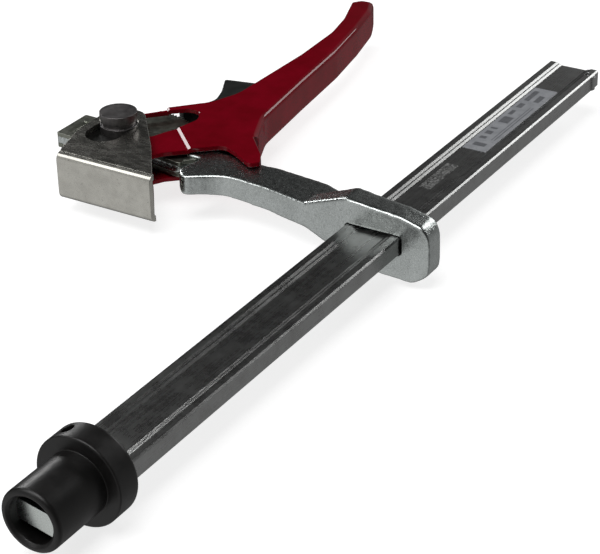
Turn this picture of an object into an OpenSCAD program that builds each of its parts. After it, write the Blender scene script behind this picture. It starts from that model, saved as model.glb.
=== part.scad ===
// Lever table clamp: profiled rail on a round table adapter, forged sliding arm,
// ratchet lever handle and a sliding pressure pad.
// Frame: X runs from the table pin to the free end of the rail, Y runs from the
// rail out to the pressure pad, Z is square to the broad face of the rail.
// The origin is on the pin axis, at the shoulder of the collar that meets the table.

/* [Rail] */
// Width of the rail
rail_w = 29; // [26:0.5:32]
// Thickness of the rail over its outer lands
rail_t = 9.4; // [9:0.1:10.4]
// Distance from the collar shoulder to the free end of the rail
rail_end = 449; // [420:1:480]
// Width of the middle recess on each broad face
recess_w = 14.2; // [12:0.2:16]
// Depth of the middle recess
recess_depth = 1.3; // [0.6:0.1:1.5]

/* [Table adapter] */
// Diameter of the pin that drops into the table bore
pin_d = 27.9; // [27.5:0.1:28.0]
// Length of the pin below the table surface
pin_len = 29.6; // [24:0.5:34]
// Diameter of the collar
collar_d = 40; // [36:0.5:44]
// Thickness of the collar
collar_len = 12.5; // [10:0.5:15]
// Diameter of the bore that takes the turned rail end
tail_d = 20.4; // [18:0.2:21]

/* [Sliding arm] */
// Front face of the eye, measured from the collar shoulder
eye_x = 226; // [200:1:250]
// Length of the eye along the rail at its crest
eye_len = 14.5; // [12:0.5:18]
// Height of the eye over both crests
eye_h = 33; // [28:0.5:36]
// Thickness of the arm
arm_t = 11; // [9:0.5:12]
// Thickness of the tang inside the lever
tang_t = 4; // [3:0.2:5]
// Sliding clearance around the rail
slot_gap = 0.5; // [0.3:0.05:0.8]

/* [Clamping head] */
// Distance of the lever pivot from the rail axis
pivot_y = 162; // [155:1:170]
// Distance of the lever pivot from the front face of the eye
pivot_dx = 25; // [24:0.5:26]
// Diameter of the pivot shank
shank_d = 12; // [10:0.5:13]
// Diameter of the guide heads that run in the pad slots
guide_d = 19.2; // [18:0.2:20]
// Height of the clamping head over both guide heads
guide_h = 40; // [38:0.5:42]
// Radius of the ratchet teeth around the pivot
ratchet_r = 40; // [39:0.5:41]
// Thickness of each ratchet plate
plate_t = 2; // [1.6:0.1:2.2]
// Angle between two ratchet teeth
tooth_pitch = 3; // [2.5:0.5:4]

/* [Pressure pad] */
// Width of the clamping face
pad_w = 56; // [50:1:60]
// Height of the clamping face
pad_h = 25.4; // [25:0.2:27]
// Sheet thickness of the pad
pad_sheet = 3; // [2.5:0.1:3]
// Distance from the clamping face to the pivot axis
pad_reach = 43; // [42:0.5:44]
// Length of the slot between its end centres
slot_travel = 12.6; // [12.4:0.2:14]

/* [Lever handle] */
// Height of the lever channel
lever_h = 18; // [17:0.2:18.2]
// Sheet thickness of the lever
lever_sheet = 2.5; // [2:0.1:2.6]
// How far each cheek steps inwards around the pivot
joggle = 0.7; // [0.3:0.1:0.8]

/* [Release] */
// Diameter of the release lever pin
release_pin_d = 5; // [4:0.5:6]
// Thickness of the release lever between the cheeks
release_t = 12; // [10:0.5:12.4]

/* [Hidden] */
fine = 64;
run_gap = 0.06;                 // radial running clearance of the pins
P = [eye_x + pivot_dx, pivot_y];              // lever pivot
pad_x = P.x - pad_reach;                      // clamping face
pad_in = pad_x + pad_sheet;                   // inside of the pad web
pad_y = P.y - 20.7;                           // middle of the clamping face
flange_in = pad_h/2 - pad_sheet;              // inside of a pad flange
cheek_in = lever_h/2 - lever_sheet;           // inside of a lever cheek
head_in = cheek_in - joggle;                  // the same around the pivot
stack_t = tang_t + 2*plate_t;                 // tang and both ratchet plates
pawl_c = P + [41, -38];                       // pawl axis
release_c = P + [60, -31];                    // release lever axis
pawl_angle = -50;                             // where the pawl meets the teeth
tooth_depth = 1.4;
teeth = 22;
first_tooth = -62;
screw_angle = 24;
screw_d = 6;
label_x = 329;
label_len = 85;
label_w = 13;
label_t = 0.2;

// --- outline helpers -------------------------------------------------------
function unit(v) = v/norm(v);
function fillet(a, b, c, r, n) = r == 0 ? [b] :
    let (u = unit(a - b), v = unit(c - b), ang = acos(u*v), d = r/tan(ang/2),
         ctr = b + unit(u + v)*(r/sin(ang/2)), p = b + u*d, q = b + v*d,
         a0 = atan2(p.y - ctr.y, p.x - ctr.x), a1 = atan2(q.y - ctr.y, q.x - ctr.x),
         da = (a1 - a0 + 900)%360 - 180)
    [for (i = [0:n]) ctr + r*[cos(a0 + da*i/n), sin(a0 + da*i/n)]];
// Closed outline from [x, y, corner radius] points
function rounded(pts, n = 5) = let (m = len(pts), xy = [for (p = pts) [p.x, p.y]])
    [for (i = [0:m - 1]) each fillet(xy[(i + m - 1)%m], xy[i], xy[(i + 1)%m], pts[i].z, n)];
function arc(c, r, a0, a1, n) = [for (i = [0:n]) let (a = a0 + (a1 - a0)*i/n) c + r*[cos(a), sin(a)]];
function offset_pts(pts, d) = [for (p = pts) [p.x + d.x, p.y + d.y, p.z]];
module slab(pts, h) {
    linear_extrude(height = h, center = true) polygon(pts);
}
// An outline drawn in the Y-Z plane and run along +X
module along_x(pts, x0, x1) {
    translate([x0, 0, 0]) rotate([90, 0, 90]) linear_extrude(height = x1 - x0) polygon(pts);
}
module rod(c, d, z0, z1) {
    translate([c.x, c.y, z0]) cylinder(d = d, h = z1 - z0, $fn = fine);
}

// --- rail ------------------------------------------------------------------
// One quarter of the section: outer land, two steps down, middle floor
function quarter(sy, sz) = let (h = rail_t/2, w = rail_w/2, f = recess_w/2, s = recess_depth/2)
    [[sy*f, sz*(h - 2*s)], [sy*(f + 1.4), sz*(h - s)], [sy*(f + 1.9), sz*(h - s)],
     [sy*(f + 3.3), sz*h], [sy*(w - 0.8), sz*h], [sy*w, sz*(h - 0.8)]];
function flip(l) = [for (i = [len(l) - 1:-1:0]) l[i]];
rail_section = concat(quarter(1, 1), flip(quarter(1, -1)), quarter(-1, -1), flip(quarter(-1, 1)));
tail_x = -pin_len + 3.6;        // middle of the sawn tail end
tail_skew = 0.185;              // the tail is sawn a little out of square
stop_x = rail_end - 7;
module rail() {
    r = tail_d/2;
    color([0.36, 0.35, 0.35]) difference() {
        union() {
            along_x(rail_section, collar_len - 0.5, rail_end);
            // turned and flattened tail inside the adapter
            intersection() {
                translate([-pin_len, 0, 0]) rotate([0, 90, 0])
                    cylinder(d = tail_d, h = collar_len - 0.5 + pin_len, $fn = fine);
                slab([[tail_x - r*tail_skew, -r], [collar_len, -r], [collar_len, r],
                      [tail_x + r*tail_skew, r]], rail_t);
            }
            // metal pushed out by the stake, which keeps the arm on the rail
            translate([stop_x, -rail_w/2 + 2, -rail_t/2 + 1]) cylinder(d = 6.4, h = rail_t - 2, $fn = fine);
        }
        for (z = [-rail_t/2 - 0.5, rail_t/2 - 1.5]) translate([stop_x, -rail_w/2 + 3, z])
            cylinder(d = 3.6, h = 2, $fn = fine);
    }
}
module rail_label() {
    color([0.62, 0.63, 0.66])
        translate([label_x, -label_w/2, rail_t/2 - recess_depth]) cube([label_len, label_w, label_t]);
}

// --- table adapter ---------------------------------------------------------
module table_adapter() {
    r = pin_d/2;
    c = collar_d/2;
    len = pin_len + collar_len;
    profile = rounded([[tail_d/2 + 1.2, 0, 0], [r, 0, 2], [r, pin_len, 0], [c, pin_len, 0.8],
                       [c, len, 1.8], [0, len, 0], [0, 1.2, 0], [tail_d/2, 1.2, 0]]);
    color([0.07, 0.065, 0.065]) difference() {
        translate([-pin_len, 0, 0]) rotate([0, 90, 0]) rotate_extrude($fn = 96) polygon(profile);
        translate([-pin_len, 0, 0]) rotate([0, 90, 0]) cylinder(d = tail_d, h = pin_len, $fn = fine);
        translate([-1, 0, 0]) intersection() {
            rotate([0, 90, 0]) cylinder(d = tail_d, h = collar_len + 0.5, $fn = fine);
            translate([0, -rail_w/2, -rail_t/2]) cube([collar_len + 1, rail_w, rail_t]);
        }
        along_x(rail_section, collar_len - 0.5, collar_len + 1);
        for (a = [screw_angle, 180 + screw_angle]) rotate([-a, 0, 0])
            translate([collar_len/2, 0, 0]) cylinder(d = screw_d, h = collar_d, $fn = fine);
    }
}
module adapter_screws() {
    reach = rail_t/2/cos(screw_angle) + 1.5;
    color([0.2, 0.2, 0.21]) for (a = [screw_angle, 180 + screw_angle]) rotate([-a, 0, 0])
        translate([collar_len/2, 0, reach]) difference() {
            cylinder(d = screw_d, h = 9.5, $fn = fine);
            translate([0, 0, 6]) cylinder(d = 3.4, h = 5, $fn = 6);
        }
}

// --- sliding arm -----------------------------------------------------------
// Beam of the arm, seen from above
beam_outline = rounded(concat([[eye_x + 8, 12, 0]],
    [[eye_x + 6.5, 39, 12], [eye_x + 12, 66, 40], [eye_x + 13.8, 91, 22], [eye_x + 2.2, 109, 3.5]],
    [[eye_x + 9, 115, 4], [P.x, 112, 0], [P.x, P.y - 40.5, 0], [P.x + 11.5, P.y - 40.5, 1]],
    [[P.x + 10, 98, 12], [P.x + 8.6, 84, 10], [P.x + 9, 70, 20], [P.x + 6, 42, 8]],
    [[eye_x + 18, 12, 0]]));
// Beam seen along the rail: flat on top, deeper towards the eye
beam_side = [[12, arm_t/2], [P.y - 40, arm_t/2], [P.y - 40, -arm_t/2 + 0.9], [100, -arm_t/2 + 0.2],
             [80, -arm_t/2 - 0.9], [60, -arm_t/2 - 1.7], [44, -arm_t/2 - 2.2], [12, -arm_t/2 - 3]];
// Tang and ratchet plates share this outline on the side of the pad
tang_front = offset_pts([[-9, -47, 2], [-5.2, -22.5, 5], [-16.5, -6, 6], [-14, 13, 6], [-9, 18, 3],
                         [-8.5, 34, 0.8], [16.5, 34, 0.8], [16, 15, 4], [25, 11, 6],
                         [36.5, 4.6, 1.5]], P);
// Eye outline seen from the front: upper side, end, then lower side
eye_outline = rounded([[42, arm_t/2, 0], [15, eye_h/2 + 1, 4], [-14, eye_h/2 - 1.4, 20],
                       [-25.5, eye_h/2 - 4.5, 4], [-30, 7, 9], [-30, -12, 8], [-21, -eye_h/2 - 1.8, 7],
                       [13, -eye_h/2, 9], [27, -11, 16], [42, -arm_t/2 - 2.2, 0]]);
module sliding_arm() {
    gap_w = rail_w/2 + 0.8;
    gap_h = rail_t/2 + slot_gap;
    color([0.42, 0.43, 0.43]) difference() {
        union() {
            intersection() {
                slab(beam_outline, 2*arm_t);
                along_x(beam_side, eye_x, P.x + 20);
            }
            slab(concat(rounded(tang_front), arc(P, ratchet_r - 4, 2, -58, 14),
                        [[P.x + 11, P.y - 47]]), tang_t);
            // eye around the rail
            intersection() {
                along_x(eye_outline, eye_x, eye_x + 20);
                slab(rounded([[eye_x, -31, 1], [eye_x + eye_len - 1.5, -31, 5],
                              [eye_x + eye_len - 1.5, -4, 20],
                              [eye_x + eye_len, 15, 10], [eye_x + 19, 43, 0], [eye_x + 7.5, 43, 0],
                              [eye_x, 13, 8]]), 60);
            }
        }
        // slot for the rail
        along_x(rounded([[-gap_w, -gap_h, 2.5], [gap_w, -gap_h, 2.5], [gap_w, gap_h, 2.5],
                         [-gap_w, gap_h, 2.5]]), eye_x - 1, eye_x + 30);
        rod(P, shank_d, -20, 20);
        for (c = rivet_at) rod(c, rivet_d, -20, 20);
    }
}
// Two toothed plates, one on each side of the tang
rivet_d = 4;
rivet_at = [P + [4, 24], P + [12, -32], P + [-3, -31], P + [-9, 8]];
function tooth(k) = let (a = first_tooth + tooth_pitch*k)
    [P + (ratchet_r - tooth_depth)*[cos(a), sin(a)],
     P + ratchet_r*[cos(a + tooth_pitch*0.8), sin(a + tooth_pitch*0.8)]];
plate_outline = concat(rounded(tang_front), flip([for (k = [0:teeth - 1]) each tooth(k)]),
    [[P.x + 12, P.y - 40.2], [P.x - 0.3, P.y - 40.2], [P.x - 0.3, P.y - 47]]);
groove = [[26.5, 0], [28.2, 0], [28.2, stack_t/2 - 0.9], [30.2, stack_t/2 + 0.1], [26.5, stack_t/2 + 0.1]];
module ratchet_plates() {
    color([0.2, 0.21, 0.18]) for (s = [-1, 1]) difference() {
        translate([0, 0, s*(tang_t + plate_t)/2]) slab(plate_outline, plate_t);
        rod(P, shank_d, -20, 20);
        for (c = rivet_at) rod(c, rivet_d, -20, 20);
        // groove across the tip, sloping on the outer side
        along_x([for (p = groove) [P.y + p.x, s*p.y]], P.x - 4.5, P.x + 9.5);
    }
}
module plate_rivets() {
    color([0.5, 0.5, 0.5]) for (c = rivet_at) rod(c, rivet_d, -stack_t/2, stack_t/2);
}

// --- pivot -----------------------------------------------------------------
shim_z = lever_h/2 - joggle + 0.1;            // underside of a slide shim
shim_t = 1.2;
head_z = shim_z + shim_t;                     // underside of the guide head
module pivot_pin() {
    color([0.2, 0.19, 0.19]) difference() {
        union() {
            rod(P, shank_d, -guide_h/2 + 0.4, head_z + 1);
            rod(P, guide_d, head_z, guide_h/2);
        }
        // groove between the guide and the head
        translate([P.x, P.y, pad_h/2 + 0.6]) difference() {
            cylinder(d = guide_d + 4, h = 2.6, $fn = fine);
            cylinder(d = guide_d - 2.4, h = 2.6, $fn = fine);
        }
    }
}
// Lower guide, riveted to the pin
module pivot_collar() {
    color([0.2, 0.19, 0.19]) difference() {
        rod(P, guide_d, -guide_h/2, -head_z);
        rod(P, shank_d, -guide_h/2 - 1, 0);
    }
}
module pivot_washers() {
    h = (head_in - stack_t/2)/2 - 0.05;
    color([0.7, 0.6, 0.3]) for (s = [-1, 1]) difference() {
        m = s*(stack_t/2 + head_in)/2;
        rod(P, 24, m - h, m + h);
        rod(P, shank_d + 2*run_gap, m - h - 1, m + h + 1);
    }
}

// Oblong shims between the cheeks and the flanges of the pad, seen through its slots
shim_outline = rounded(offset_pts([[-23, -11, 8], [11, -11, 10.5], [11, 11, 10.5], [-23, 11, 8]], P), 10);
module slide_shims() {
    color([0.12, 0.11, 0.11]) for (s = [-1, 1]) difference() {
        translate([0, 0, s*(shim_z + shim_t/2)]) slab(shim_outline, shim_t);
        rod(P, shank_d, -20, 20);
    }
}

// --- pressure pad ----------------------------------------------------------
y0 = pad_y - pad_w/2;
y1 = pad_y + pad_w/2;
flange_outline = rounded([[pad_x + 3.5, y0, 0], [pad_x + 5, y0 + 1.6, 2], [P.x - 14, P.y - 29.7, 60],
                          [P.x + 18.4, P.y - 3, 9], [P.x + 19, P.y + 15, 7], [P.x - 14, P.y + 14.6, 20],
                          [pad_x + 6, y1 + 1, 3], [pad_x + 3.5, y1, 0]]);
pad_section = rounded([[pad_x, -pad_h/2, 4], [pad_x, pad_h/2, 4], [pad_x + 4, pad_h/2, 0],
                       [pad_x + 4, flange_in, 0], [pad_in, flange_in, 0.8],
                       [pad_in, -flange_in, 0.8], [pad_x + 4, -flange_in, 0], [pad_x + 4, -pad_h/2, 0]]);
module pressure_pad() {
    guide_r = guide_d/2 + 0.1;
    color([0.68, 0.68, 0.65]) difference() {
        union() {
            translate([0, y1, 0]) rotate([90, 0, 0]) linear_extrude(height = pad_w) polygon(pad_section);
            for (s = [-1, 1]) translate([0, 0, s*(pad_h/2 - pad_sheet/2)])
                slab(flange_outline, pad_sheet);
        }
        for (x = [0.3, -slot_travel]) rod(P + [x, 0], 2*guide_r, -30, 30);
        translate([P.x - slot_travel, P.y - guide_r, -30]) cube([slot_travel + 0.3, 2*guide_r, 60]);
    }
}
// --- lever handle ----------------------------------------------------------
// Web side, from the pivot end to the tip
web_line = offset_pts([[11.5, -76.5, 0], [31, -63.8, 30], [52, -54.8, 30], [99, -48.4, 60],
                       [145, -42.8, 60], [179, -36.4, 60], [207, -29.6, 30], [223.5, -22, 3]], P);
// Open side, from the tip back to the pivot
open_line = offset_pts([[219.5, -18.5, 3], [212.5, -13.6, 2], [187.7, -22.4, 40], [167, -26.8, 40],
                        [131, -28.6, 60], [84, -27.4, 60], [69.8, -27.2, 30], [53.5, -21, 12],
                        [35.6, -4.2, 1], [34.4, -5.6, 1], [21, 5.6, 6]], P);
// Cheeks around the pivot, with the cam nose that drives the pad
head_line = offset_pts([[8, 17, 9], [-13, 17, 13], [-39.7, -7, 9], [-36, -17.5, 9], [-25, -24, 7],
                        [-9, -33, 6], [3.2, -46.6, 6], [11.5, -56, 6], [7, -66, 8],
                        [-0.2, -78, 2], [4, -82.2, 2]], P);
lever_outline = rounded(concat([[P.x + 11.5, P.y - 77.8, 0]], [for (i = [1:len(web_line) - 1]) web_line[i]],
                               open_line, head_line));
// Space between the cheeks, open on the trigger side and towards the pad
lever_hollow = rounded(concat(
    [for (p = web_line) [p.x - 1.2, p.y + lever_sheet, p.z]],
    [[P.x + 260, P.y + 60, 0], [P.x - 60, P.y + 60, 0], [P.x - 60, P.y - 100, 0],
     [P.x + 11.5, P.y - 100, 0]]));
// Window in each cheek that shows the ratchet plates
window_outline = rounded(offset_pts([[-1, -15.6, 4], [12, -20.4, 20], [19, -24, 6], [31, -27, 7],
                                     [40.5, -22, 6], [40, -15, 5], [33, -7, 8], [24.5, 1.5, 3],
                                     [14, -2, 5]], P));
// The part of a cheek that steps inwards: the crease runs at 47 degrees, as a slope.
// The given (across, height) profile is drawn along the crease
module along_crease(profile) {
    translate([P.x + 2.8, P.y - 39.9, 0]) rotate([0, 0, 47])
        rotate([90, 0, 90]) linear_extrude(height = 500, center = true) polygon(profile);
}
module lever_shell() {
    h = lever_h/2;
    color([0.42, 0.01, 0.05]) difference() {
        intersection() {
            slab(lever_outline, lever_h);
            // rounded end of the grip, seen from the side
            rotate([90, 0, 0]) linear_extrude(height = 2*P.y + 200, center = true)
                polygon(rounded([[0, -h, 0], [P.x + 223.5, -h, 8], [P.x + 223.5, h, 8], [0, h, 0]], 10));
        }
        intersection() {
            slab(lever_hollow, 2*cheek_in);
            along_crease([[-300, -cheek_in], [-joggle, -cheek_in], [joggle, -head_in], [100, -head_in],
                          [100, head_in], [joggle, head_in], [-joggle, cheek_in], [-300, cheek_in]]);
        }
        for (s = [-1, 1])
            along_crease([[-joggle - 1, s*(h + 0.5)], [-joggle, s*h], [joggle, s*(h - joggle)],
                          [100, s*(h - joggle)], [100, s*(h + 0.5)]]);
        slab(window_outline, lever_h + 2);
        rod(P, shank_d + 2*run_gap, -20, 20);
        rod(pawl_c, release_pin_d, -20, 20);
        rod(release_c, release_pin_d, -20, 20);
        rod(spacer_c, release_pin_d, -20, 20);
    }
}
// Spacer that holds the two cheeks apart
spacer_c = P + [104, -39];
module lever_spacer() {
    color([0.42, 0.01, 0.05]) union() {
        rod(spacer_c, release_pin_d, -lever_h/2, lever_h/2);
        rod(spacer_c, release_pin_d + 3, -cheek_in, cheek_in);
    }
}

// --- pawl and release ------------------------------------------------------
tip = P + (ratchet_r + 0.3)*[cos(pawl_angle), sin(pawl_angle)];
// The tail on the right lies over the nose of the release lever
pawl_outline = rounded([[tip.x, tip.y, 0], [tip.x + 5, tip.y + 1.4, 2], [pawl_c.x + 1, pawl_c.y + 6.5, 5],
                        [pawl_c.x + 12, pawl_c.y + 5.6, 1.5], [pawl_c.x + 12, pawl_c.y + 2.8, 0.6],
                        [pawl_c.x + 6, pawl_c.y + 1.4, 1], [pawl_c.x + 5, pawl_c.y - 5, 3],
                        [pawl_c.x - 1, pawl_c.y - 6, 4], [tip.x + 1.6, tip.y - 4.4, 1]]);
module pawl() {
    color([0.25, 0.25, 0.25]) difference() {
        slab(pawl_outline, stack_t);
        rod(pawl_c, release_pin_d + 2*run_gap, -20, 20);
    }
}
module pawl_pin() {
    color([0.42, 0.01, 0.05]) rod(pawl_c, release_pin_d, -lever_h/2, lever_h/2);
}
module pawl_bush() {
    color([0.55, 0.55, 0.55]) difference() {
        rod(pawl_c, 9, -cheek_in + 0.05, -stack_t/2 - 0.1);
        rod(pawl_c, release_pin_d + 2*run_gap, -20, 20);
    }
}
// Turns of a spring coil around c, from height z up
module coil(c, r, wire, z, turns) {
    for (i = [0:turns - 1]) translate([c.x, c.y, z + wire*(i + 0.5)]) rotate_extrude($fn = fine)
        translate([r, 0]) circle(d = wire - 0.04, $fn = 16);
}
module pawl_spring() {
    color([0.6, 0.6, 0.62]) coil(pawl_c, 3.4, 0.8, stack_t/2 + 0.05, 3);
}
// Finger blade on the right, nose under the pawl, and a guard arm that closes the window
trigger_outline = rounded(offset_pts([[50.4, -36.6, 0.4], [51.2, -39.4, 1], [61, -40, 6], [72, -38, 6],
                                      [93, -31, 3], [92, -28, 2], [90.5, -22, 2], [87.2, -6.6, 1.2],
                                      [72.4, -14, 40], [61, -17.5, 10], [50, -10.6, 3], [44.6, -5.6, 1.5],
                                      [43.2, -6.8, 1.5], [41.8, -10.5, 3],
                                      [43.4, -24, 3], [49, -28.4, 3], [55, -30.5, 2], [55, -35.5, 0.5]], P));
module release_trigger() {
    color([0.04, 0.045, 0.04]) difference() {
        slab(trigger_outline, release_t);
        rod(release_c, release_pin_d + 2*run_gap, -20, 20);
        // pocket for the spring
        rod(release_c, 10.4, release_t/2 - 3.2, release_t/2 + 1);
    }
}
module release_pin() {
    color([0.42, 0.01, 0.05]) rod(release_c, release_pin_d, -lever_h/2, lever_h/2);
}
module release_washers() {
    h = (cheek_in - release_t/2)/2 - 0.04;
    color([0.6, 0.6, 0.6]) for (s = [-1, 1]) difference() {
        m = s*(cheek_in + release_t/2)/2;
        rod(release_c, 9.6, m - h, m + h);
        rod(release_c, release_pin_d + 2*run_gap, m - 1, m + 1);
    }
}
module release_spring() {
    color([0.6, 0.6, 0.62]) coil(release_c, 4, 1, release_t/2 - 3.15, 3);
}

rail();
rail_label();
table_adapter();
adapter_screws();
sliding_arm();
ratchet_plates();
plate_rivets();
pivot_pin();
pivot_collar();
pivot_washers();
slide_shims();
pressure_pad();
lever_shell();
lever_spacer();
pawl();
pawl_pin();
pawl_bush();
pawl_spring();
release_trigger();
release_pin();
release_washers();
release_spring();
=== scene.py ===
import math

import bmesh
import bpy
import numpy as np
from mathutils import Matrix, Vector, noise

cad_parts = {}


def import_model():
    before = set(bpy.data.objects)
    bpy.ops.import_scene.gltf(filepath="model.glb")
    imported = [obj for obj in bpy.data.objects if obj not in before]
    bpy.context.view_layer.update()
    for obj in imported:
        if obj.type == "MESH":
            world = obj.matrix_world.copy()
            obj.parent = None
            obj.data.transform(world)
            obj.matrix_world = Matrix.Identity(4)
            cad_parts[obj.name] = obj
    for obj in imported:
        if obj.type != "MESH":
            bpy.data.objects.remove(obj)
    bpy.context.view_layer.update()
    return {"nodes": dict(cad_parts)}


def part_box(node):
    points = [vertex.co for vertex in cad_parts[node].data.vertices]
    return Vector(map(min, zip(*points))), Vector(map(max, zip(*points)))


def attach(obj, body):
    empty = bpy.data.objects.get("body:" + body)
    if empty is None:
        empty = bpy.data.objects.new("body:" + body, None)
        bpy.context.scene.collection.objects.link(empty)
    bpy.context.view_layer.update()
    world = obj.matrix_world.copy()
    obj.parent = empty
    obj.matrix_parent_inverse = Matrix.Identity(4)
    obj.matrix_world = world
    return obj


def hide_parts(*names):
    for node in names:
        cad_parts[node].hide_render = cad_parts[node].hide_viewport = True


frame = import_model()
nodes = frame["nodes"]
MM = 0.001


def mm(*v):
    return Vector(v) * MM


# ---------------------------------------------------------------- key places
def axis_of(node):
    """Where the axis of a round node that stands along Z crosses the middle plane, to 0.01 mm."""
    lo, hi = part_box(node)
    return Vector((round((lo.x + hi.x) / 2, 5), round((lo.y + hi.y) / 2, 5), 0))


PIVOT = axis_of("pivot_pin")
PAWL = axis_of("pawl_pin")
RELEASE = axis_of("release_pin")
SPACER = axis_of("lever_spacer")
FLOOR_GAP = 0.0008
FLOOR_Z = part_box("pivot_collar")[0].z - FLOOR_GAP

# ---------------------------------------------------------------- camera, fitted to the object's outlines
CAM_AT = Vector((-0.48336, -0.40466, 0.43207))
AZ, EL, ROLL = math.radians(-58.88), math.radians(29.16), math.radians(-0.86)
right = Vector((math.cos(AZ), math.sin(AZ), 0))
back = Vector((math.sin(AZ) * math.cos(EL), -math.cos(AZ) * math.cos(EL), math.sin(EL)))
up = back.cross(right)
right_r = right * math.cos(ROLL) + up * math.sin(ROLL)
up_r = up * math.cos(ROLL) - right * math.sin(ROLL)
cam_data = bpy.data.cameras.new("camera")
cam = bpy.data.objects.new("camera", cam_data)
bpy.context.scene.collection.objects.link(cam)
cam.matrix_world = Matrix((
    (right_r.x, up_r.x, back.x, CAM_AT.x),
    (right_r.y, up_r.y, back.y, CAM_AT.y),
    (right_r.z, up_r.z, back.z, CAM_AT.z),
    (0, 0, 0, 1)))
cam_data.sensor_width = 36.0
cam_data.lens = 119.334
cam_data.shift_x = -0.0492
cam_data.shift_y = 0.0120
cam_data.clip_start, cam_data.clip_end = 0.02, 20
bpy.context.scene.camera = cam


# ---------------------------------------------------------------- helpers
def link(obj):
    bpy.context.scene.collection.objects.link(obj)
    return obj


def new_mesh(name, bm):
    me = bpy.data.meshes.new(name)
    bm.to_mesh(me)
    bm.free()
    return link(bpy.data.objects.new(name, me))


def apply_modifiers(obj):
    dg = bpy.context.evaluated_depsgraph_get()
    dg.update()
    me = bpy.data.meshes.new_from_object(obj.evaluated_get(dg))
    obj.modifiers.clear()
    obj.data = me
    return obj


def cad_copy(node):
    """A CAD node's mesh as welded n-gons, for a piece that replaces it."""
    bm = bmesh.new()
    bm.from_mesh(nodes[node].data)
    bmesh.ops.remove_doubles(bm, verts=bm.verts, dist=2e-6)
    bmesh.ops.dissolve_limit(bm, angle_limit=math.radians(0.6), use_dissolve_boundaries=False,
                             verts=bm.verts, edges=bm.edges, delimit=set())
    return bm


def smooth(obj, angle):
    """Smooth shading, with edges sharper than the angle kept hard."""
    me = obj.data
    for p in me.polygons:
        p.use_smooth = True
    me.set_sharp_from_angle(angle=math.radians(angle))


# ---------------------------------------------------------------- materials
class Mat:
    """Small helper that builds a Principled material from nodes."""

    def __init__(self, name):
        self.m = bpy.data.materials.new(name)
        self.m.use_nodes = True
        self.t = self.m.node_tree
        self.t.nodes.clear()
        out = self.node("ShaderNodeOutputMaterial")
        self.bsdf = self.node("ShaderNodeBsdfPrincipled")
        self.t.links.new(self.bsdf.outputs[0], out.inputs[0])
        self.coord = self.node("ShaderNodeTexCoord").outputs["Object"]

    def node(self, kind, **kw):
        n = self.t.nodes.new(kind)
        for k, v in kw.items():
            setattr(n, k, v)
        return n

    def put(self, socket, value):
        if isinstance(value, bpy.types.NodeSocket):
            self.t.links.new(value, socket)
        else:
            socket.default_value = value

    def set(self, **kw):
        for k, v in kw.items():
            self.put(self.bsdf.inputs[k.replace("_", " ")], v)

    def mapping(self, scale):
        n = self.node("ShaderNodeMapping")
        self.put(n.inputs["Vector"], self.coord)
        n.inputs["Scale"].default_value = scale
        return n.outputs[0]

    def noise(self, scale, detail=4.0, rough=0.55, vec=None):
        n = self.node("ShaderNodeTexNoise")
        self.put(n.inputs["Vector"], vec or self.coord)
        n.inputs["Scale"].default_value = scale
        n.inputs["Detail"].default_value = detail
        n.inputs["Roughness"].default_value = rough
        return n.outputs["Fac"]

    def scale(self, fac, lo, hi, a=0.3, b=0.7):
        """Maps fac from a..b onto lo..hi."""
        n = self.node("ShaderNodeMapRange")
        self.put(n.inputs[0], fac)
        for i, v in zip((1, 2, 3, 4), (a, b, lo, hi)):
            n.inputs[i].default_value = v
        return n.outputs[0]

    def math(self, op, a, b):
        n = self.node("ShaderNodeMath", operation=op)
        self.put(n.inputs[0], a)
        self.put(n.inputs[1], b)
        return n.outputs[0]

    def mix(self, fac, a, b):
        n = self.node("ShaderNodeMix", data_type="RGBA")
        self.put(n.inputs[0], fac)
        for s, v in ((n.inputs[6], a), (n.inputs[7], b)):
            self.put(s, v if isinstance(v, bpy.types.NodeSocket) or len(v) == 4 else (*v, 1))
        return n.outputs[2]

    def bump(self, height, strength, dist, radius=None):
        n = self.node("ShaderNodeBump")
        n.inputs["Strength"].default_value = strength
        n.inputs["Distance"].default_value = dist
        self.put(n.inputs["Height"], height)
        if radius:
            b = self.node("ShaderNodeBevel", samples=6)
            b.inputs["Radius"].default_value = radius
            self.t.links.new(b.outputs[0], n.inputs["Normal"])
        self.t.links.new(n.outputs[0], self.bsdf.inputs["Normal"])

    def edge(self, radius):
        """1 on worn corners, 0 on flats: how far a rounded normal leaves the true one."""
        b = self.node("ShaderNodeBevel", samples=6)
        b.inputs["Radius"].default_value = radius
        g = self.node("ShaderNodeNewGeometry")
        d = self.node("ShaderNodeVectorMath", operation="DOT_PRODUCT")
        self.t.links.new(b.outputs[0], d.inputs[0])
        self.t.links.new(g.outputs["Normal"], d.inputs[1])
        return self.scale(self.math("SUBTRACT", 1.0, d.outputs["Value"]), 0, 1, 0.02, 0.25)

    def patch(self, x, x0, x1, y, y0, y1):
        """1 inside a rectangle, 0 outside."""
        sides = [self.math("GREATER_THAN", c, lo) for c, lo in ((x, x0), (y, y0))]
        sides += [self.math("LESS_THAN", c, hi) for c, hi in ((x, x1), (y, y1))]
        return self.math("MULTIPLY", self.math("MULTIPLY", *sides[:2]), self.math("MULTIPLY", *sides[2:]))

    def xyz(self):
        n = self.node("ShaderNodeSeparateXYZ")
        self.put(n.inputs[0], self.coord)
        return n.outputs


def paint(obj, mat):
    me = obj.data
    me.materials.clear()
    me.materials.append(mat)


def dress(node, mat):
    """Gives a CAD node's own slots the better material."""
    o = nodes[node]
    if not o.material_slots:
        o.data.materials.append(mat)
    for s in o.material_slots:
        s.material = mat


# Past this x the rail's end face is painted lighter: bare saw-cut steel, lifted further as painted light
# against the shade inside the adapter's bore.
SAWN_AND_LIT_X = -0.0235                 # the rail's end face lies past this
ETCHED_X = (0.279, 0.309)        # frosted patch on the rail's top
ETCHED_Y = (-0.002, 0.0045)


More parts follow.
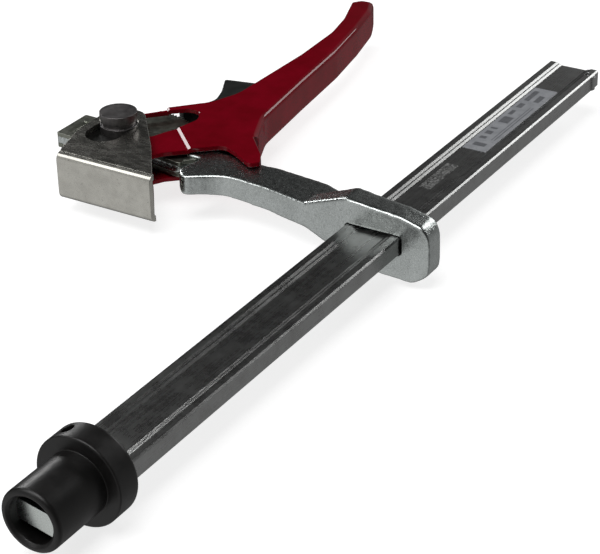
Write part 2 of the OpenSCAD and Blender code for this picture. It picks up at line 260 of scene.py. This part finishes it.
def rail_material():
    """Cold drawn steel with long faint streaks, a saw-cut end inside the adapter painted lighter (bare cut
    steel, and painted light against the shade in the bore) and a frosted patch on top.
    """
    m = Mat("rail_steel")
    streak = m.noise(1.0, 2, 0.5, m.mapping((14, 1100, 1100)))
    blotch = m.noise(120, 6, 0.65)
    x, y, z = m.xyz()
    sawn_and_lit = m.math("LESS_THAN", x, SAWN_AND_LIT_X)
    etched = m.math("MULTIPLY", m.patch(x, *ETCHED_X, y, *ETCHED_Y), m.math("GREATER_THAN", z, 0.0))
    etched = m.math("MULTIPLY", etched, m.scale(m.noise(1100, 3, 0.6), 0, 1, 0.42, 0.62))
    fine = m.noise(2600, 3, 0.6)
    col = m.mix(m.scale(blotch, 0, 1), (0.27, 0.27, 0.265), (0.36, 0.365, 0.36))
    col = m.mix(m.scale(streak, 0, 0.2, 0.4, 0.7), col, (0.42, 0.43, 0.43))
    col = m.mix(m.math("MULTIPLY", m.edge(0.0005), 0.6), col, (0.62, 0.63, 0.64))
    # the end face lighter: bare saw-cut steel, and painted light against the shade in the bore
    col = m.mix(m.math("MULTIPLY", sawn_and_lit, m.scale(fine, 0.5, 1)), col, (0.75, 0.80, 0.77))
    m.set(Base_Color=col, Metallic=1.0,
          Roughness=m.math("ADD", m.math("MULTIPLY", etched, 0.4),
                           m.math("ADD", m.scale(streak, 0.25, 0.30), m.scale(blotch, -0.02, 0.04))))
    grain = m.math("ADD", m.math("MULTIPLY", streak, 0.25), m.math("MULTIPLY", fine, 0.6))
    m.bump(grain, 0.10, 0.00005, 0.0004)
    return m.m


def black_material(name="black_steel", base=(0.003, 0.0028, 0.0027), rough=(0.32, 0.45)):
    """Blackened steel or black plastic: blotchy sheen, greyer corners."""
    m = Mat(name)
    blotch = m.noise(140, 5, 0.6)
    fine = m.noise(2200, 3, 0.6)
    col = m.mix(m.scale(blotch, 0, 1), base, tuple(c * 1.9 for c in base))
    col = m.mix(m.math("MULTIPLY", m.edge(0.0005), 0.25), col, (0.06, 0.058, 0.055))
    m.set(Base_Color=col, Metallic=0.0, Specular_IOR_Level=0.35, Roughness=m.scale(blotch, *rough))
    m.bump(fine, 0.18, 0.00005, 0.0006)
    return m.m


def steel_material(name, dark, light, rough=(0.25, 0.4), grain=(300, 300, 300), specks=0.0):
    """Bare steel: blotches between dark and light, grain along its scale, brighter corners."""
    m = Mat(name)
    blotch = m.noise(160, 5, 0.6)
    streak = m.noise(1.0, 5, 0.6, m.mapping(grain))
    col = m.mix(m.scale(blotch, 0, 1), dark, light)
    col = m.mix(m.math("MULTIPLY", m.edge(0.0004), 0.5), col, tuple(min(1, c * 1.6) for c in light))
    if specks:
        col = m.mix(m.scale(m.noise(650, 4, 0.75), specks, 0, 0.28, 0.40), col, tuple(c * 0.3 for c in dark))
    m.set(Base_Color=col, Metallic=1.0, Roughness=m.scale(streak, *rough))
    m.bump(streak, 0.2, 0.00005, 0.0004)
    return m.m


def forged_material():
    """Galvanised forging: grainy, grey-green, with a fine brighter grain and dark pits."""
    m = Mat("forged_steel")
    grain = m.noise(1500, 4, 0.75)
    pits = m.noise(520, 5, 0.7)
    blotch = m.noise(75, 5, 0.6)
    col = m.mix(m.scale(blotch, 0, 1), (0.37, 0.395, 0.385), (0.49, 0.52, 0.51))
    col = m.mix(m.scale(grain, 0, 0.75, 0.45, 0.75), col, (0.80, 0.84, 0.83))
    col = m.mix(m.scale(pits, 0.45, 0, 0.3, 0.45), col, (0.16, 0.168, 0.162))
    m.set(Base_Color=col, Metallic=1.0, Roughness=m.scale(pits, 0.20, 0.30))
    m.bump(m.math("ADD", m.math("MULTIPLY", grain, 1.2), pits), 0.35, 0.00018, 0.0005)
    return m.m


RAIL = rail_material()
BLACK = black_material()
SCREW = steel_material("screw_steel", (0.10, 0.10, 0.10), (0.2, 0.2, 0.2))
FORGED = forged_material()
PLATE = steel_material("plate_steel", (0.16, 0.17, 0.14), (0.28, 0.29, 0.25), (0.3, 0.45))
PIN = steel_material("pin_steel", (0.10, 0.095, 0.095), (0.2, 0.19, 0.19), (0.35, 0.5))
BRASS = steel_material("washer_brass", (0.45, 0.36, 0.16), (0.6, 0.5, 0.25), (0.25, 0.4))
PAD = steel_material("pad_steel", (0.48, 0.47, 0.43), (0.60, 0.59, 0.54), (0.2, 0.32), (420, 160, 500), 0.7)
# Shim steel near black, as painted shade: it darkens the inside of the pad's slot.
SHIM = steel_material("shim_steel", (0.025, 0.025, 0.024), (0.04, 0.04, 0.038), (0.35, 0.5))
SPRING = steel_material("spring_steel", (0.5, 0.5, 0.52), (0.7, 0.7, 0.72), (0.2, 0.3))
PLASTIC = black_material("black_plastic", (0.006, 0.0065, 0.006), (0.3, 0.42))


def enamel_material(name, radius):
    """Deep red under a clear coat; radius eases the corners, None leaves them."""
    m = Mat(name)
    dust = m.noise(900, 4, 0.6)
    col = m.mix(m.scale(m.noise(60, 4, 0.6), 0, 1), (0.100, 0.0002, 0.003), (0.145, 0.0005, 0.006))
    m.set(Base_Color=col, Roughness=m.scale(dust, 0.16, 0.24), Coat_Weight=0.55, Coat_Roughness=0.04,
          Specular_IOR_Level=0.0)
    m.bump(m.noise(420, 3, 0.5), 0.12, 0.00004, radius)
    return m.m


ENAMEL = enamel_material("red_enamel", 0.0004)
PINS = enamel_material("pin_enamel", None)


def foil_material():
    """Foil label with plain printed blocks and two ruled lines; block corners in mm from the label's end."""
    m = Mat("label_foil")
    x, y = m.xyz()[:2]
    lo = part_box("rail_label")[0]
    ink = None
    for x0, x1, y0, y1 in ((5, 9, -3.2, 3.6), (14, 17, 0.6, 4.4), (20, 24, 0.6, 4.4), (27, 29, 0.6, 4.4),
                           (36, 44, -1.0, 4.4), (47, 53, 2.0, 4.4), (57, 63, 1.4, 4.6), (67, 81, 1.8, 4.8),
                           (67, 76, -3.8, -0.6), (14, 60, -4.6, -4.0), (14, 60, -3.0, -2.5)):
        one = m.patch(x, lo.x + x0 * MM, lo.x + x1 * MM, y, y0 * MM, y1 * MM)
        ink = m.math("MAXIMUM", ink, one) if ink else one
    col = m.mix(m.scale(m.noise(220, 5, 0.6), 0, 1), (0.26, 0.27, 0.29), (0.36, 0.37, 0.39))
    col = m.mix(m.math("MULTIPLY", ink, m.scale(m.noise(1400, 3, 0.6), 0.45, 0.9)), col, (0.05, 0.052, 0.06))
    m.set(Base_Color=col, Metallic=0.35, Roughness=m.scale(m.noise(300, 3, 0.6), 0.26, 0.38))
    m.bump(m.noise(500, 3, 0.5), 0.1, 0.00004)
    return m.m


FOIL = foil_material()

for node, mat in {
    "rail": RAIL, "rail_label": FOIL, "table_adapter": BLACK, "adapter_screws": SCREW, "sliding_arm": FORGED,
    "ratchet_plates": PLATE, "plate_rivets": PLATE, "pivot_pin": PIN, "pivot_collar": PIN,
    "pivot_washers": BRASS, "slide_shims": SHIM, "pressure_pad": PAD,
    "lever_shell": ENAMEL, "lever_spacer": PINS,
    "pawl": PIN, "pawl_pin": PINS, "pawl_bush": SPRING, "pawl_spring": SPRING,
    "release_trigger": PLASTIC, "release_pin": PINS, "release_washers": SPRING, "release_spring": SPRING,
}.items():
    dress(node, mat)


# ---------------------------------------------------------------- lever
def near_line(p, line, tol):
    """True where p lies within tol of the polyline, seen from above."""
    for a, b in zip(line, line[1:]):
        ab, ap = (b - a).xy, (p - a).xy
        t = max(0.0, min(1.0, ap.dot(ab) / ab.length_squared))
        if (ap - ab * t).length < tol:
            return True
    return False


def round_edges(obj, weight, width, segments):
    """Rounds each edge by width times its weight."""
    bm = bmesh.new()
    bm.from_mesh(obj.data)
    layer = bm.edges.layers.float.get("bevel_weight_edge") or bm.edges.layers.float.new("bevel_weight_edge")
    for e in bm.edges:
        e[layer] = weight(e) if e.calc_face_angle(0) > EDGE_ANGLE else 0.0
    bm.to_mesh(obj.data)
    bm.free()
    m = obj.modifiers.new("edges", "BEVEL")
    m.limit_method, m.width, m.segments = "WEIGHT", width, segments
    m.use_clamp_overlap = False
    m.miter_outer = "MITER_SHARP"
    apply_modifiers(obj)


# The fold between cheeks and web, seen from above
WEB = [PIVOT + mm(x, y, 0) for x, y in ((11.5, -76.5), (31, -63.8), (52, -54.8), (99, -48.4), (145, -42.8),
                                        (179, -36.4), (207, -29.6), (222, -22.8))]
FOLD = 2.8 * MM                  # outer rounding of the fold
FOLD_INNER = 0.18                # inner rounding, as a share of the outer
FOLD_START = 0.1                 # rounding at the near end, as a share; full after FOLD_RUN
FOLD_RUN = 12 * MM
RIM = 0.35 * MM                  # rounding of all other edges
EDGE_ANGLE = math.radians(35)    # flatter edges aren't rounded
INNER_SHIFT = mm(-1.2, 2.5, 0)   # from the fold's outer line to its inner one
HOLE_REACH = 4.5 * MM            # a pin hole's edge lies within this of its axis
ON_LINE = 0.4 * MM
SLOPE_Z, SLOPE_AREA = 0.894, 2e-6    # upward part of the head slope's normal, and its least area


def lever():
    obj = new_mesh("lever_channel", cad_copy("lever_shell"))
    inner = [p + INNER_SHIFT for p in WEB]
    holes = (PAWL, RELEASE, SPACER)

    def web_weight(e):
        ends = [v.co for v in e.verts]
        d = ends[0] - ends[1]
        if abs(d.z) > 0.6 * d.length:
            return 0.0
        if all(near_line(p, WEB, ON_LINE) for p in ends):
            away = ((ends[0] + ends[1]) / 2 - WEB[0]).xy.length
            return FOLD_START + (1 - FOLD_START) * min(1.0, max(0.0, (away - 1 * MM) / FOLD_RUN))
        return FOLD_INNER if all(near_line(p, inner, ON_LINE) for p in ends) else 0.0

    def rim_weight(e):               # the pin holes stay sharp, so the pin ends don't show
        p = (e.verts[0].co + e.verts[1].co) / 2
        return 0.0 if any((p - h).xy.length < HOLE_REACH for h in holes) else 1.0

    round_edges(obj, web_weight, FOLD, 7)
    round_edges(obj, rim_weight, RIM, 2)
    smooth(obj, 24)
    me = obj.data
    for p in me.polygons:            # the slope between head and lever stays a flat facet
        if abs(abs(p.normal.z) - SLOPE_Z) < 0.006 and p.area > SLOPE_AREA:
            for i in p.loop_indices:
                me.edges[me.loops[i].edge_index].use_edge_sharp = True
    obj.modifiers.new("flats", "WEIGHTED_NORMAL").keep_sharp = True
    apply_modifiers(obj)
    paint(obj, ENAMEL)
    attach(obj, "lever")
    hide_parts("lever_shell")


lever()


# ---------------------------------------------------------------- forged arm and moulded trigger
def remesh(node, name, size):
    """An even mesh of a CAD node: small voxels, laid back onto the node's own surface."""
    obj = new_mesh(name, cad_copy(node))
    m = obj.modifiers.new("skin", "REMESH")
    m.mode, m.voxel_size, m.use_smooth_shade = "VOXEL", size, True
    obj.modifiers.new("onto", "SHRINKWRAP").target = nodes[node]
    return apply_modifiers(obj)


def relax(obj, rounds, weight):
    """Rounds the edges off: each point moves towards the mean of its neighbours, by its weight."""
    me = obj.data
    co = np.zeros(len(me.vertices) * 3)
    me.vertices.foreach_get("co", co)
    co = co.reshape(-1, 3)
    ends = np.zeros(len(me.edges) * 2, np.int64)
    me.edges.foreach_get("vertices", ends)
    a, b = ends.reshape(-1, 2).T
    count = np.bincount(np.concatenate((a, b)), minlength=len(co))[:, None]
    w = weight(co)[:, None]
    for _ in range(rounds):
        near = np.stack([np.bincount(np.concatenate((a, b)), np.concatenate((co[b, k], co[a, k])), len(co))
                         for k in range(3)], axis=1) / count
        co += (near - co) * w
    me.vertices.foreach_set("co", co.ravel())
    me.update()
    return w[:, 0]


def step(x, a, b):
    t = np.clip((x - a) / (b - a), 0, 1)
    return t * t * (3 - 2 * t)


SLOT_PLAY = (1.2 * MM, 1.1 * MM)     # the rail slot's walls lie within this of the rail, sideways and up
TANG_Y = (0.1205, 0.1225)        # the shoulder fades into the machined tang here
SCALE_DEPTH = 0.12 * MM          # roughness of the forging skin


def arm():
    obj = remesh("sliding_arm", "forged_arm", 0.6 * MM)
    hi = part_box("rail")[1]

    def weight(co):
        inside = (abs(co[:, 1]) < hi.y + SLOT_PLAY[0]) & (abs(co[:, 2]) < hi.z + SLOT_PLAY[1])
        return np.where(inside, 0.0, 0.5 * (1 - step(co[:, 1], *TANG_Y)))

    w = relax(obj, 14, weight)
    me = obj.data
    co, normal = (np.zeros(len(me.vertices) * 3) for _ in range(2))
    me.vertices.foreach_get("co", co)
    me.vertices.foreach_get("normal", normal)
    co, normal = co.reshape(-1, 3), normal.reshape(-1, 3)
    rough = np.array([noise.noise(Vector(c) * 260) * 0.6 + noise.noise(Vector(c) * 700) * 0.4 for c in co])
    co += normal * (rough * (w > 0) * SCALE_DEPTH)[:, None]
    me.vertices.foreach_set("co", co.ravel())
    me.update()
    smooth(obj, 60)
    paint(obj, FORGED)
    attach(obj, "arm")
    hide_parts("sliding_arm")


arm()


SPRING_POCKET = 5.6 * MM         # the release lever keeps its exact shape this close to its axis


def trigger():
    obj = remesh("release_trigger", "moulded_trigger", 0.4 * MM)
    relax(obj, 6, lambda co: np.where(
        np.hypot(co[:, 0] - RELEASE.x, co[:, 1] - RELEASE.y) < SPRING_POCKET, 0.0, 0.5))
    smooth(obj, 60)
    paint(obj, PLASTIC)
    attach(obj, "trigger")
    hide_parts("release_trigger")


trigger()


# ---------------------------------------------------------------- wound springs
def spring(name, node, body, centre, r, wire, z0, turns, start, legs):
    """A torsion spring about centre, wound up from z0 in steps per turn, with a straight leg at each end."""
    steps = 28
    n = int(turns * steps)
    pts = []
    for i in range(n + 1):
        a = math.radians(start) + 2 * math.pi * i / steps
        pts.append(centre + Vector((r * math.cos(a), r * math.sin(a), z0 + wire * (0.5 + i / steps))))
    first = [pts[0] + Vector((legs[0][0], legs[0][1], 0)) * t for t in (1.0, 0.5)]
    last = [pts[-1] + Vector((legs[1][0], legs[1][1], 0)) * t for t in (0.5, 1.0)]
    pts = first + pts + last
    cu = bpy.data.curves.new(name, "CURVE")
    cu.dimensions = "3D"
    cu.bevel_depth = wire / 2 * 0.96
    cu.bevel_resolution = 4
    cu.use_fill_caps = True
    sp = cu.splines.new("POLY")
    sp.points.add(len(pts) - 1)
    for p, q in zip(sp.points, pts):
        p.co = (*q, 1)
    o = link(bpy.data.objects.new(name, cu))
    wound = bpy.data.meshes.new_from_object(o.evaluated_get(bpy.context.evaluated_depsgraph_get()))
    bpy.data.objects.remove(o)
    obj = link(bpy.data.objects.new(name, wound))
    smooth(obj, 50)
    paint(obj, SPRING)
    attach(obj, body)
    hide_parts(node)


PAWL_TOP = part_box("pawl")[1].z
TRIGGER_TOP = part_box("release_trigger")[1].z
spring("pawl_coil", "pawl_spring", "pawl", PAWL, r=0.0034, wire=0.0008, z0=PAWL_TOP + 0.00005,
       turns=2.1, start=20, legs=((-0.0030, 0.0026), (0.0060, 0.0010)))
spring("release_coil", "release_spring", "trigger", RELEASE, r=0.0040, wire=0.0010, z0=TRIGGER_TOP - 0.0031,
       turns=2.0, start=0, legs=((0.0, 0.0001), (0.0, 0.0001)))


# ---------------------------------------------------------------- floor and light
def floor():
    bm = bmesh.new()
    bmesh.ops.create_grid(bm, x_segments=1, y_segments=1, size=6)
    o = new_mesh("floor", bm)
    o.location = (0.2, 0, FLOOR_Z)
    m = Mat("floor_paper")
    paper = m.mix(m.scale(m.noise(6, 3), 0, 1), (0.36, 0.36, 0.36), (0.39, 0.39, 0.39))
    m.set(Base_Color=paper, Roughness=0.95, Specular_IOR_Level=0.1)
    m.bsdf.inputs["Emission Color"].default_value = (1, 1, 1, 1)
    m.bsdf.inputs["Emission Strength"].default_value = 0.78
    paint(o, m.m)
    o.visible_glossy = False


def area(name, at, target, size, power):
    """A rectangular lamp that faces its target."""
    d = bpy.data.lights.new(name, "AREA")
    d.shape = "RECTANGLE"
    d.size, d.size_y = size
    d.energy = power
    o = link(bpy.data.objects.new(name, d))
    o.location = at
    o.rotation_mode = "QUATERNION"
    o.rotation_quaternion = (Vector(at) - Vector(target)).to_track_quat("Z", "Y")


floor()
area("overhead", (-0.35, 0.1, 1.7), (0.2, 0.02, 0), (1.3, 1.3), 26)
area("left", (-0.47, 0.73, 1.05), (0.22, 0.1, 0), (0.9, 0.8), 5)
area("right", (1.8, -0.42, 0.8), (0.4, 0, 0), (0.8, 0.6), 8)
area("behind", (0.777, 1.09, 0.485), (0.253, 0.122, 0.01), (0.34, 0.26), 3)


def world():
    """Dark studio with a pale wall on the left, low down."""
    w = bpy.data.worlds.new("world")
    bpy.context.scene.world = w
    w.use_nodes = True
    t = w.node_tree
    t.nodes.clear()
    out = t.nodes.new("ShaderNodeOutputWorld")
    bg = t.nodes.new("ShaderNodeBackground")
    co = t.nodes.new("ShaderNodeTexCoord")

    def lobe(direction, lo, hi, strength):
        """Soft light about a direction: none where the cosine is lo, full strength where it is hi."""
        dot = t.nodes.new("ShaderNodeVectorMath")
        dot.operation = "DOT_PRODUCT"
        dot.inputs[1].default_value = Vector(direction).normalized()
        t.links.new(co.outputs["Generated"], dot.inputs[0])
        m = t.nodes.new("ShaderNodeMapRange")
        m.interpolation_type = "SMOOTHSTEP"
        t.links.new(dot.outputs["Value"], m.inputs[0])
        for i, v in zip((1, 2, 3, 4), (lo, hi, 0, strength)):
            m.inputs[i].default_value = v
        return m.outputs[0]

    total = lobe((-0.75, 0.35, -0.45), 0.1, 0.95, 0.62)
    for one in (lobe((0.55, -0.6, -0.55), 0.3, 1.0, 0.30), lobe((0.95, 0.12, 0.22), 0.90, 1.0, 0.35)):
        add = t.nodes.new("ShaderNodeMath")
        t.links.new(total, add.inputs[0])
        t.links.new(one, add.inputs[1])
        total = add.outputs[0]
    base = t.nodes.new("ShaderNodeMath")
    t.links.new(total, base.inputs[0])
    base.inputs[1].default_value = 0.022
    t.links.new(base.outputs[0], bg.inputs[1])
    bg.inputs[0].default_value = (1, 1, 1, 1)
    t.links.new(bg.outputs[0], out.inputs[0])


world()
bpy.context.scene.view_settings.view_transform = "Standard"
